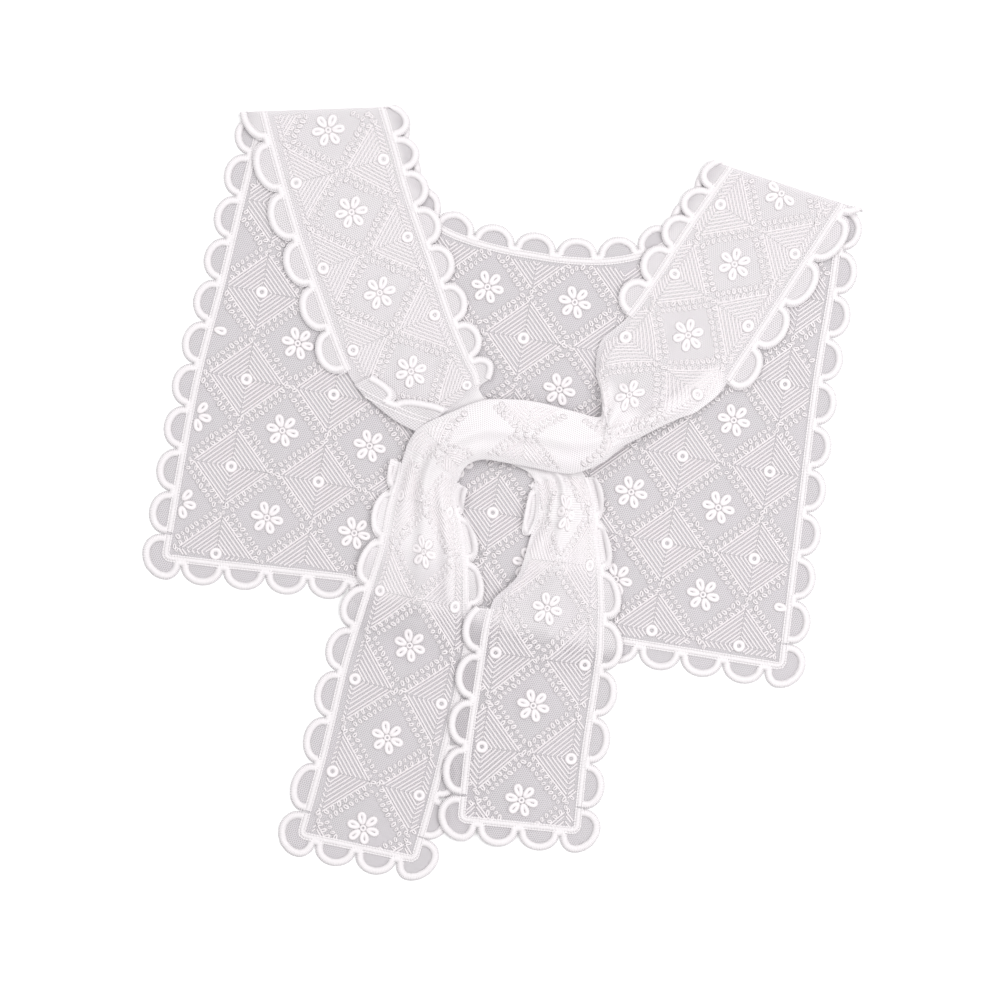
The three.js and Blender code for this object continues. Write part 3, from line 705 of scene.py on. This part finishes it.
def motif_tree():
    """Satin-stitched rings on points of the cloth: loops, petals and eyelets."""
    sizes, counts = ("Length", "Width", "Band", "Height", "Taper"), ("Steps", "Band Steps")
    tree, given = new_tree("ringed_motifs", sizes, counts)

    def multiplied(a, b):
        return math_node(tree, "MULTIPLY", a, b)

    def half_within_band(size):
        return multiplied(math_node(tree, "SUBTRACT", given[size], given["Band"]), 0.5)

    ring = node(tree, "GeometryNodeCurvePrimitiveCircle", {"mode": "RADIUS"},
                Resolution=given["Steps"], Radius=1)
    spot = node(tree, "ShaderNodeSeparateXYZ")
    feed(tree, spot.inputs[0], node(tree, "GeometryNodeInputPosition").outputs[0])
    swell = math_node(tree, "ADD", multiplied(spot.outputs["X"], given["Taper"]), 1.0)
    narrowed = math_node(tree, "SUBTRACT", swell, given["Taper"])
    side = multiplied(spot.outputs["Y"], half_within_band("Width"))
    shaped = node(tree, "ShaderNodeCombineXYZ", X=multiplied(spot.outputs["X"], half_within_band("Length")),
                  Y=multiplied(side, narrowed))
    path = node(tree, "GeometryNodeSetPosition", Geometry=ring.outputs["Curve"], Position=shaped.outputs[0])
    upright = node(tree, "GeometryNodeSetCurveNormal", {"mode": "Z_UP"}, Curve=path.outputs["Geometry"])
    section = node(tree, "GeometryNodeCurvePrimitiveCircle", {"mode": "RADIUS"},
                   Resolution=given["Band Steps"], Radius=0.5)
    size = node(tree, "ShaderNodeCombineXYZ", X=given["Band"], Y=given["Height"], Z=1)
    flattened = node(tree, "GeometryNodeTransform", Geometry=section.outputs["Curve"], Scale=size.outputs[0])
    swept = node(tree, "GeometryNodeCurveToMesh", Curve=upright.outputs["Curve"],
                 Profile_Curve=flattened.outputs["Geometry"])
    dots = node(tree, "GeometryNodeMeshToPoints", Mesh=given["Geometry"])
    turn = turned_to_cloth(tree, attribute(tree, "way"))
    placed = node(
        tree, "GeometryNodeInstanceOnPoints", Points=dots.outputs["Points"],
        Instance=smoothed(tree, swept.outputs["Mesh"]), Rotation=turn, Scale=attribute(tree, "stretch"),
    )
    return finished_tree(tree, placed.outputs["Instances"], given)


stitches = stitch_tree()
chains = chain_tree()
motifs = motif_tree()


def made_plain(source, tree, thread, **sizes):
    """Runs a tree on an object and keeps only the mesh it makes. Sizes are in millimetres."""
    modifier = source.modifiers.new("maker", "NODES")
    modifier.node_group = tree
    for item in tree.interface.items_tree:
        if item.item_type != "SOCKET" or item.in_out != "INPUT":
            continue
        name = item.name.lower().replace(" ", "_")
        if item.name == "Thread":
            modifier[item.identifier] = thread
        elif name in sizes:
            value = sizes[name]
            whole = item.socket_type == "NodeSocketInt" or name == "taper"
            modifier[item.identifier] = value if whole else value * MM
    ready = source.evaluated_get(bpy.context.evaluated_depsgraph_get())
    mesh = bpy.data.meshes.new_from_object(ready)
    source.modifiers.remove(modifier)
    old = source.data
    source.data = mesh
    bpy.data.meshes.remove(old)
    for spare in ("up", "way", "stretch"):
        if spare in mesh.attributes:
            mesh.attributes.remove(mesh.attributes[spare])
    return source


def vectors(mesh, name, values):
    made = mesh.attributes.new(name, "FLOAT_VECTOR", "POINT")
    made.data.foreach_set("vector", np.asarray(values, np.float32).ravel())


def line_mesh(name, lines):
    """Lines to sew along; each one is its points and the cloth's normals there."""
    lines = [line for line in lines if len(line[0]) > 1]
    points = np.concatenate([p for p, _ in lines])
    ups = np.concatenate([u for _, u in lines])
    starts = np.cumsum([0] + [len(p) for p, _ in lines])
    edges = [(i, i + 1) for a, b in zip(starts, starts[1:]) for i in range(a, b - 1)]
    made = new_mesh(name, points, edges=edges)
    vectors(made.data, "up", ups)
    return made


def sewn_lines(name, lines, stitch):
    """Stitches of cord thread along lines."""
    return made_plain(line_mesh(name, lines), stitches, cord_thread, **stitch)


def joined(name, parts):
    """One object from several."""
    first = parts[0]
    with bpy.context.temp_override(active_object=first, selected_editable_objects=parts, object=first):
        bpy.ops.object.join()
    first.name = first.data.name = name
    return first


# ---- embroidery ----
class Field:
    """A stretch of cloth to embroider: flat places, where they lie, and which are on it."""

    def __init__(self, name, place, origin, pitch, low, high, holds, petal_turn):
        self.name, self.place, self.origin, self.pitch = name, place, np.array(origin), np.array(pitch)
        self.low, self.high, self.holds, self.petal_turn = np.array(low), np.array(high), holds, petal_turn

    def cells(self, start):
        """Centres of the repeats whose first one is offset by start, in repeats."""
        origin = self.origin + np.array(start) * self.pitch
        first = np.floor((self.low - origin) / self.pitch).astype(int)
        last = np.ceil((self.high - origin) / self.pitch).astype(int)
        return [origin + np.array([i, j]) * self.pitch
                for i in range(first[0], last[0] + 1) for j in range(first[1], last[1] + 1)]


def kept_runs(flat, keep):
    """The stretches of a line whose points are all kept."""
    runs, start = [], None
    for i, good in enumerate(list(keep) + [False]):
        if good and start is None:
            start = i
        if not good and start is not None:
            runs.append(flat[start:i])
            start = None
    return runs


DIAMOND = np.array([(1, 0), (0, 1), (-1, 0), (0, -1), (1, 0)], float)


def diamond_lines(field):
    """The nested diamonds of every second cell, cut off at the cloth's edge."""
    lines = []
    stretch = field.pitch / REPEAT
    for centre in field.cells((0.5, 0.5)):
        for half in RINGS:
            corners = centre + DIAMOND * half * stretch
            for a, b in zip(corners, corners[1:]):
                count = max(3, int(np.linalg.norm(b - a) / 2.2))
                f = np.linspace(0.02, 0.98, count)[:, None]
                flat = a + (b - a) * f
                for run in kept_runs(flat, field.holds(flat, 0.8)):
                    lines.append(field.place(run[:, 0], run[:, 1]))
    return lines


def laid_points(field, flat, ways, scales, margin):
    """Points with the cloth's normal, their way on it and how the gathers squeeze them."""
    flat, ways, scales = np.array(flat), np.array(ways), np.array(scales)
    keep = field.holds(flat, margin)
    flat, ways, scales = flat[keep], ways[keep], scales[keep]
    sides = np.stack([-ways[:, 1], ways[:, 0]], -1)
    points, ups = field.place(flat[:, 0], flat[:, 1])

    def moved(direction):
        ahead, behind = flat + direction, flat - direction
        return (field.place(ahead[:, 0], ahead[:, 1])[0] - field.place(behind[:, 0], behind[:, 1])[0]) / 2

    along, over = moved(ways), moved(sides)
    lengths = np.clip(np.linalg.norm(along, axis=-1), 0.35, 1.3)
    widths = np.clip(np.linalg.norm(over, axis=-1), 0.35, 1.3)
    return points, ups, unit(along), np.stack([lengths * scales, widths * scales, np.ones_like(widths)], -1)


def motif_piece(name, field, flat, ways, scales, margin, sizes):
    points, ups, along, stretch = laid_points(field, flat, ways, scales, margin)
    made = new_mesh(name, points)
    vectors(made.data, "up", ups)
    vectors(made.data, "way", along)
    vectors(made.data, "stretch", stretch)
    return made_plain(made, motifs, embroidery_thread, **sizes)


def circle_way(degrees):
    return np.array([math.cos(math.radians(degrees)), math.sin(math.radians(degrees))])


LOOP = dict(length=4.3, width=3.2, band=1.45, height=0.9, taper=0.2, steps=6, band_steps=3)
PETAL = dict(length=8.9, width=6.9, band=3.0, height=1.0, taper=0.26, steps=12, band_steps=5)
HEART = dict(length=4.4, width=4.4, band=1.5, height=1.0, taper=0, steps=8, band_steps=5)
EYELET = dict(length=8.0, width=8.0, band=3.1, height=0.9, taper=0, steps=14, band_steps=5)
LOOP_MARGIN, PETAL_MARGIN, HEART_MARGIN, EYELET_MARGIN = 1.6, 2.2, 2.5, 3.0


def embroider(field, flowered=True):
    """Everything sewn on one field, as one piece. Cloth folded on itself shows no flowers."""
    draw = np.random.default_rng(len(field.name))
    flowers = field.cells((0, 0))
    diamonds = field.cells((0.5, 0.5))
    ways = [circle_way(360 / PETALS * k + field.petal_turn) for k in range(PETALS)]
    petals = [(centre + PETAL_MIDDLE * way, way, 1) for centre in flowers for way in ways]
    loops = []
    stretch = field.pitch / REPEAT
    for centre in flowers:
        for row, half in enumerate(LOOP_ROWS):
            for a, b in zip(DIAMOND, DIAMOND[1:]):
                outward = math.degrees(math.atan2(*(a + b)[::-1]))
                for k in range(LOOPS_PER_SIDE):
                    f = (k + 0.5 + 0.5 * row) / (LOOPS_PER_SIDE + 0.5)
                    way = circle_way(outward + draw.uniform(-LOOP_SWAY, LOOP_SWAY))
                    loops.append((centre + (a + (b - a) * f) * half * stretch, way, draw.uniform(0.8, 1.2)))
    hearts = [(centre, circle_way(0), 1) for centre in flowers]
    eyelets = [(centre, circle_way(0), 1) for centre in field.cells((0.5, 0.5))]
    parts = [
        made_plain(line_mesh("diamonds", diamond_lines(field)), chains, embroidery_thread, width=LINE_WIDTH),
        motif_piece("loops", field, *zip(*loops), LOOP_MARGIN, LOOP),
    ]
    if flowered:
        parts += [
            motif_piece("petals", field, *zip(*petals), PETAL_MARGIN, PETAL),
            motif_piece("flower_hearts", field, *zip(*hearts), HEART_MARGIN, HEART),
            motif_piece("eyelets", field, *zip(*eyelets), EYELET_MARGIN, EYELET),
        ]
    return joined(field.name + "_embroidery", parts)


def panel_field():
    grown = {}

    def holds(flat, margin):
        if margin not in grown:
            grown[margin] = offset_outline(panel_outline, margin + 2.2)
        return inside(grown[margin], flat)

    low, high = panel_outline.min(0), panel_outline.max(0)
    pitch = (REPEAT, REPEAT)
    return Field("back_panel", yoke_surface, PANEL_ORIGIN, pitch, low, high, holds, PANEL_PETAL_TURN)


def tie_field(name, tie, surface, first_flower, pitch, start, end, sides=(1, 1)):
    """A stretch of a tie; its middle line runs through the flowers."""
    def place(u, v):
        along, across = strip_place(tie, u, v)
        return surface(along, across)

    def holds(flat, margin):
        along, across = strip_place(tie, flat[:, 0], flat[:, 1])
        row = row_at(tie, np.maximum(along, 0))
        left = row["left"] - 0.3 if sides[0] else row["left"] + 2
        return ((along > start + margin) & (along < end - margin)
                & (across > left + margin + 1.8) & (across < row["right"] - margin - 1.8))

    low, high = (-HALF_TIE, start), (HALF_TIE, end)
    return Field(name, place, (0, first_flower), (REPEAT + 0.9, pitch), low, high, holds, TIE_PETAL_TURN)


# ---- edgings ----
def scallop_columns(stretches):
    """Distances along a seam and how far out the edging reaches there."""
    s, reach = [], []
    for start, end, count, corner in stretches:
        pitch = (end - start) / count
        steps = 28 if corner else 14
        for n in range(count):
            f = np.linspace(0, 1, steps + 1)
            f = f if corner else (1 - np.cos(math.pi * f)) / 2
            s.append(start + (n + f) * pitch)
            reach.append(EDGE_NECK + (EDGE_REACH - EDGE_NECK) * np.sqrt(np.maximum(0, 1 - (2 * f - 1) ** 2)))
    return np.concatenate(s), np.concatenate(reach)


CORD_WIDTH = 5.6
CORD = dict(pitch=0.9, length=1.5, width=CORD_WIDTH, height=1.1)
RAIL = dict(pitch=1.7, length=2.6, width=1.2, height=1.0)
RUNG = dict(pitch=0.9, length=1.3, width=4.2, height=0.8)
RAIL_OFFSETS = (-1.9, 1.7)     # of the doubled line from the seam


def cord_lines(stretches, keep):
    """The cord's middle line: distances along the seam and out from it, round every scallop."""
    inset = CORD_WIDTH / 2
    s, out = [], []
    for start, end, count, corner in stretches:
        pitch = (end - start) / count
        for n in range(count):
            angle = np.linspace(math.pi * 1.06, -math.pi * 0.06, 30 if corner else 16)
            s.append(start + (n + 0.5) * pitch + (pitch / 2 - inset * 0.9) * np.cos(angle))
            out.append(EDGE_NECK - 0.8 + (EDGE_REACH - inset - EDGE_NECK + 0.8) * np.sin(angle))
    s, out = np.concatenate(s), np.concatenate(out)
    good = (s > keep[0] + 0.6) & (s < keep[1] - 0.6)
    return kept_runs(np.stack([s, out], -1), good)


def on_seam(seam, surface, s, out):
    place, way = seam.at(s)
    spot = place + way * out[..., None]
    return surface(spot[..., 0], spot[..., 1])


def edging(name, seam, surface, stretches, keep, flat_of, backing_of):
    """Half-moons of net inside a satin cord, sewn to the cloth along a double line."""
    s, reach = scallop_columns(stretches)
    columns = np.unique(np.concatenate([s[(s > keep[0]) & (s < keep[1])], keep,
                                        np.linspace(FOLD_START, 0, 9) if keep[0] < 0 else []]))
    columns = columns[(columns >= keep[0]) & (columns <= keep[1])]
    outer = np.interp(columns, s, reach) - 0.6
    place, way = seam.at(columns)
    share = np.linspace(0, 1, 6)
    grid = place[:, None, :] + way[:, None, :] * (GAP / 2 + (outer[:, None] - GAP / 2) * share)[..., None]
    net = net_grid(name + "_net", surface, grid, flat_of, backing_of)
    cords = [on_seam(seam, surface, run[:, 0], run[:, 1]) for run in cord_lines(stretches, keep)]
    cord = sewn_lines(name + "_cord", cords, CORD)
    run = np.arange(keep[0] + 0.5, keep[1] - 0.5, 2.0)
    doubled = [on_seam(seam, surface, run, np.full_like(run, offset)) for offset in RAIL_OFFSETS]
    rails = sewn_lines(name + "_rails", doubled, RAIL)
    middle = [on_seam(seam, surface, run, 0 * run - 0.1)]
    rungs = sewn_lines(name + "_rungs", middle, RUNG)
    return net, joined(name + "_cord", [cord, rails, rungs])


# ---- the collar's pieces ----
# The right tail's upper edging is squeezed to 0.56 of its cut, less than cloth can be. declare() scales the
# area it works out by this factor, which nothing then uses, and its shape is not mended.
SQUEEZED_AREA = 0.72


def declare(net, nodes, sewn, cut=None, shown=1.0):
    """Net and what is sewn on it take their place in the frame.

    cut: width and length of its cloth, in metres. shown: a factor on the area that it works out, below 1
    only for an edging that the gathers squeeze to less than 0.7 of its cut. The area is not used further.
    """
    mesh = net.data
    mesh.calc_loop_triangles()
    uv = np.zeros(len(mesh.loops) * 2)
    mesh.uv_layers["cloth"].data.foreach_get("uv", uv)
    corners = uv.reshape(-1, 2)[np.array([t.loops[:] for t in mesh.loop_triangles])]
    sides = corners[:, 1:] - corners[:, :1]
    area = np.abs(sides[:, 0, 0] * sides[:, 1, 1] - sides[:, 0, 1] * sides[:, 1, 0]).sum() / 2
    size = np.ptp(uv.reshape(-1, 2), axis=0) if cut is None else np.array(cut)
    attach(net, "root")
    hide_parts(*nodes)
    for piece in sewn:
        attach(piece, "root")
    area = float(min(area, size[0] * size[1]) * shown)


def add_back_panel():
    edge = offset_outline(panel_outline, GAP / 2)
    step = 7.0
    low, high = edge.min(0), edge.max(0)
    xs, ys = np.meshgrid(np.arange(low[0] + 3, high[0], step), np.arange(low[1] + 3, high[1], step))
    inner = np.stack([xs.ravel(), ys.ravel()], -1)
    inner = inner[inside(offset_outline(panel_outline, 3), inner)]
    flat = np.concatenate([edge, inner])
    rim = [(i, (i + 1) % len(edge)) for i in range(len(edge))]
    places, _, faces, *_ = delaunay_2d_cdt([Vector(p) for p in flat], rim, [list(range(len(edge)))], 1, 1e-5)
    flat = np.array([p[:] for p in places])
    points, _ = yoke_surface(flat[:, 0], flat[:, 1])
    net = new_mesh("back_panel_net", points, faces=faces, material=yoke_net)
    finish_net(net, flat, np.zeros(len(flat)))
    declare(net, ["back_panel"], [embroider(panel_field())])


def flat_xy(a, b):
    return np.stack([a, b], -1)


def edging_cut(keep):
    return (EDGE_REACH * MM, (keep[1] - keep[0]) * MM)


def add_yoke_edgings():
    left_fold, right_fold = fold_way(LEFT_TIE_ROWS), fold_way(RIGHT_TIE_ROWS)
    left = Seam(left_line, 1, first=-left_fold)
    right = Seam(right_line, 1, last=right_fold)
    neck = Seam(neck_line, -1, first=left_fold, last=-right_fold)
    left_end = left.total - CORNER_ON_SIDE
    hem = Seam(cornered([
        left.place(left_end), LEFT_SIDE[-1], *HEM, RIGHT_SIDE[0], right.place(CORNER_ON_SIDE),
    ]), 1)
    for name, seam, stretches, keep in (
        ("left_side_edging", left, [(0, left_end, 10, False)], (0, left_end - GAP / 2)),
        ("right_side_edging", right, [(CORNER_ON_SIDE, right.total, 10, False)],
         (CORNER_ON_SIDE + GAP / 2, right.total)),
        ("neck_edging", neck, [(0, neck.total, 11, False)], (0, neck.total)),
        ("hem_edging", hem, [(0, CORNER, 1, True), (CORNER, hem.total - CORNER, 14, False),
                             (hem.total - CORNER, hem.total, 1, True)], (GAP / 2, hem.total - GAP / 2)),
    ):
        net, cord = edging(name, seam, yoke_surface, stretches, keep, flat_xy, no_painted_layer_light)
        declare(net, [name], [cord], edging_cut(keep))


def strip_grid(tie, start, end, turned=(0.0, 0.0)):
    """Places over a stretch of a tie, with its folded margins as far as turned says."""
    count = int((end - max(start, 0)) / NET_STEP) + 1
    alongs = np.linspace(max(start, 0), end, count)
    if start < 0:
        alongs = np.concatenate([np.linspace(start, 0, 10)[:-1], alongs])
    row = row_at(tie, np.maximum(alongs, 0))
    inner = np.linspace(0, 1, 37)
    left, right = row["left"], row["right"]
    spread = left[:, None] + (right - left)[:, None] * inner
    parts = []
    turn = np.concatenate([np.linspace(0, math.pi * TURN_RADIUS, 7)[1:], [TURN_UNDER]])
    if turned[0]:
        room = np.minimum(HALF_TIE + left, TURN_UNDER)[:, None]
        parts.append((left[:, None] - np.minimum(turn, np.maximum(room, 0.01 * turn)))[:, ::-1])
    parts.append(spread)
    if turned[1]:
        room = np.minimum(HALF_TIE - right, TURN_UNDER)[:, None]
        parts.append(right[:, None] + np.minimum(turn, np.maximum(room, 0.01 * turn)))
    across = np.concatenate(parts, axis=1)
    return np.stack([np.broadcast_to(alongs[:, None], across.shape), across], -1)


def tie_cloth(tie):
    return lambda along, across: cloth_place(tie, along, across)


def add_tie_net(name, nodes, tie, surface, start, end, turned, flower, pitch):
    grid = strip_grid(tie, start, end, turned)
    net = net_grid(name + "_net", surface, grid, tie_cloth(tie), tie_painted_layer_light(tie))
    sewn = []
    if flower is not None:
        field = tie_field(name, tie, surface, flower, pitch, max(start, 0), end, turned)
        sewn.append(embroider(field, flowered=name != "knot_band"))
    declare(net, nodes, sewn)


def add_tie_edging(name, tie, side, notch, pitch, start, end, shown=1.0):
    count = math.ceil((end + pitch - notch) / pitch)
    stretches = [(notch, notch + count * pitch, count, False)]
    net, cord = edging(name, StripSeam(side), tie_surface(tie), stretches, (start, end), tie_cloth(tie),
                       tie_painted_layer_light(tie))
    declare(net, [name], [cord], edging_cut((start, end)), shown)


def add_tail_end(name, tie, end):
    start = end - CORNER_ON_SIDE
    seam = Seam(cornered([(start, HALF_TIE), (end, HALF_TIE), (end, -HALF_TIE), (start, -HALF_TIE)]), -1)
    stretches = [(0, CORNER, 1, True), (CORNER, seam.total - CORNER, 2, False),
                 (seam.total - CORNER, seam.total, 1, True)]
    keep = (GAP / 2, seam.total - GAP / 2)
    net, cord = edging(name, seam, tie_surface(tie), stretches, keep, tie_cloth(tie), tie_painted_layer_light(tie))
    declare(net, [name], [cord], edging_cut(keep))


def add_turned_edge():
    """The left front's margin and edging, turned over along a crease on to the front."""
    start, notch, pitch = 158.0, 149.0, 26.9
    surface = creased_surface(LEFT_TIE, 1)
    stretches = [(notch, notch + 2 * pitch, 2, False)]
    keep = (start, LEFT_FRONT_END)
    s, reach = scallop_columns(stretches)
    columns = np.unique(np.concatenate([s[(s > keep[0]) & (s < keep[1])], keep]))
    columns = np.unique(np.concatenate([columns, np.linspace(*keep, 18)]))
    outer = HALF_TIE + np.interp(columns, s, reach) - 0.6
    left = row_at(LEFT_TIE, columns)["left"]
    turn = np.linspace(0.3, math.pi * TURN_RADIUS, 6)
    rest = turn[-1] + np.maximum(outer + left - turn[-1], 0.5)[:, None] * np.linspace(0, 1, 9)[1:]
    past = np.concatenate([np.broadcast_to(turn, (len(columns), 6)), rest], axis=1)
    grid = np.stack([np.broadcast_to(columns[:, None], past.shape), left[:, None] - past], -1)
    net = net_grid("left_front_turned_edge_net", surface, grid, tie_cloth(LEFT_TIE), tie_painted_layer_light(LEFT_TIE))
    seam = StripSeam(-1)
    cords = [on_seam(seam, surface, run[:, 0], run[:, 1]) for run in cord_lines(stretches, keep)]
    run = np.arange(start + 3, LEFT_FRONT_END, 2.0)
    doubled = [on_seam(seam, surface, run, np.full_like(run, offset)) for offset in RAIL_OFFSETS]
    cord = joined("left_front_turned_edge_cord", [
        sewn_lines("turned_cord", cords, CORD),
        sewn_lines("turned_rails", doubled, RAIL),
    ])
    declare(net, ["left_front_turned_edge"], [cord])


def add_ties():
    left, right = tie_surface(LEFT_TIE), tie_surface(RIGHT_TIE)
    under_left, under_right = creased_surface(LEFT_TIE, -1), creased_surface(RIGHT_TIE, -1)
    add_tie_net("left_front", ["left_front"], LEFT_TIE, left, FOLD_START, LEFT_FRONT_END, (0, 0),
                63, 51)
    add_tie_edging("left_front_outer_edging", LEFT_TIE, -1, -12.5, 26.9, FOLD_START, 150)
    add_tie_edging("left_front_neck_edging", LEFT_TIE, 1, -4.2, 25.6, FOLD_START, LEFT_FRONT_END)
    add_turned_edge()
    add_tie_net("right_front", ["right_front"], RIGHT_TIE, under_right, FOLD_START, BAND_START, (1, 1),
                5, 51)
    add_tie_edging("right_front_outer_edging", RIGHT_TIE, 1, -22.5, 27.5, FOLD_START, 115)
    add_tie_edging("right_front_neck_edging", RIGHT_TIE, -1, -6, 25.5, FOLD_START, 122)
    add_tie_net("knot_crossing", ["knot_core"], LEFT_TIE, left, LEFT_FRONT_END, RIGHT_TAIL_START, (0, 0),
                None, 0)
    add_tie_net("knot_band", ["knot_band"], RIGHT_TIE, under_right, BAND_START, BAND_END, (1, 1),
                208, 53)
    add_tie_net("left_tail", ["left_tail"], RIGHT_TIE, right, BAND_END, LEFT_TAIL_END - GAP / 2, (0, 0),
                408 - 56.5, 56.8)
    tail_corner = LEFT_TAIL_END - CORNER_ON_SIDE
    for name, side, start in (("left_tail_outer_edging", -1, 306), ("left_tail_inner_edging", 1, 302)):
        add_tie_edging(name, RIGHT_TIE, side, tail_corner - 8 * TAIL_PITCH, TAIL_PITCH, start,
                       tail_corner - GAP / 2)
    add_tail_end("left_tail_end_edging", RIGHT_TIE, LEFT_TAIL_END)
    add_tie_net("right_tail", ["right_tail"], LEFT_TIE, under_left,
                RIGHT_TAIL_START, RIGHT_TAIL_END - GAP / 2, (1, 0),
                420 - 57, 57)
    tail_corner = RIGHT_TAIL_END - CORNER_ON_SIDE
    for name, side, start in (("right_tail_outer_edging", 1, 286), ("right_tail_inner_edging", -1, 368)):
        add_tie_edging(name, LEFT_TIE, side, tail_corner - 7 * TAIL_PITCH, TAIL_PITCH, start,
                       tail_corner - GAP / 2)
    add_tie_edging("right_tail_upper_edging", LEFT_TIE, -1, 263.7, TAIL_PITCH, 288, 320,
                   shown=SQUEEZED_AREA)
    add_tail_end("right_tail_end_edging", LEFT_TIE, RIGHT_TAIL_END)


# ---- table and light ----
def add_table():
    size = 3.0
    mesh = bpy.data.meshes.new("table")
    corners = [(-size, -size, 0), (size, -size, 0), (size, size, 0), (-size, size, 0)]
    mesh.from_pydata(corners, [], [(0, 1, 2, 3)])
    material, _, shader = principled("white_table", 0.9, 0)
    shader.inputs["Base Color"].default_value = (0.97, 0.97, 0.97, 1)
    shader.inputs["Specular IOR Level"].default_value = 0
    mesh.materials.append(material)
    table = bpy.data.objects.new("table", mesh)
    scene.collection.objects.link(table)


def add_light(name, place, size, power):
    data = bpy.data.lights.new(name, "AREA")
    data.size, data.energy = size, power
    light = bpy.data.objects.new(name, data)
    light.location = place
    light.rotation_mode = "QUATERNION"
    light.rotation_quaternion = (-Vector(place)).to_track_quat("-Z", "Y")
    scene.collection.objects.link(light)


def add_lights():
    world = bpy.data.worlds.new("studio")
    world.use_nodes = True
    world.node_tree.nodes["Background"].inputs["Color"].default_value = (1, 1, 1, 1)
    world.node_tree.nodes["Background"].inputs["Strength"].default_value = 0.80
    scene.world = world
    add_light("window", (-0.9, 1.1, 1.6), 1.0, 12)
    add_light("fill", (1.2, 0.2, 1.6), 1.4, 21)
    scene.view_settings.view_transform = "Standard"


add_table()
add_back_panel()
add_yoke_edgings()
add_ties()
add_lights()
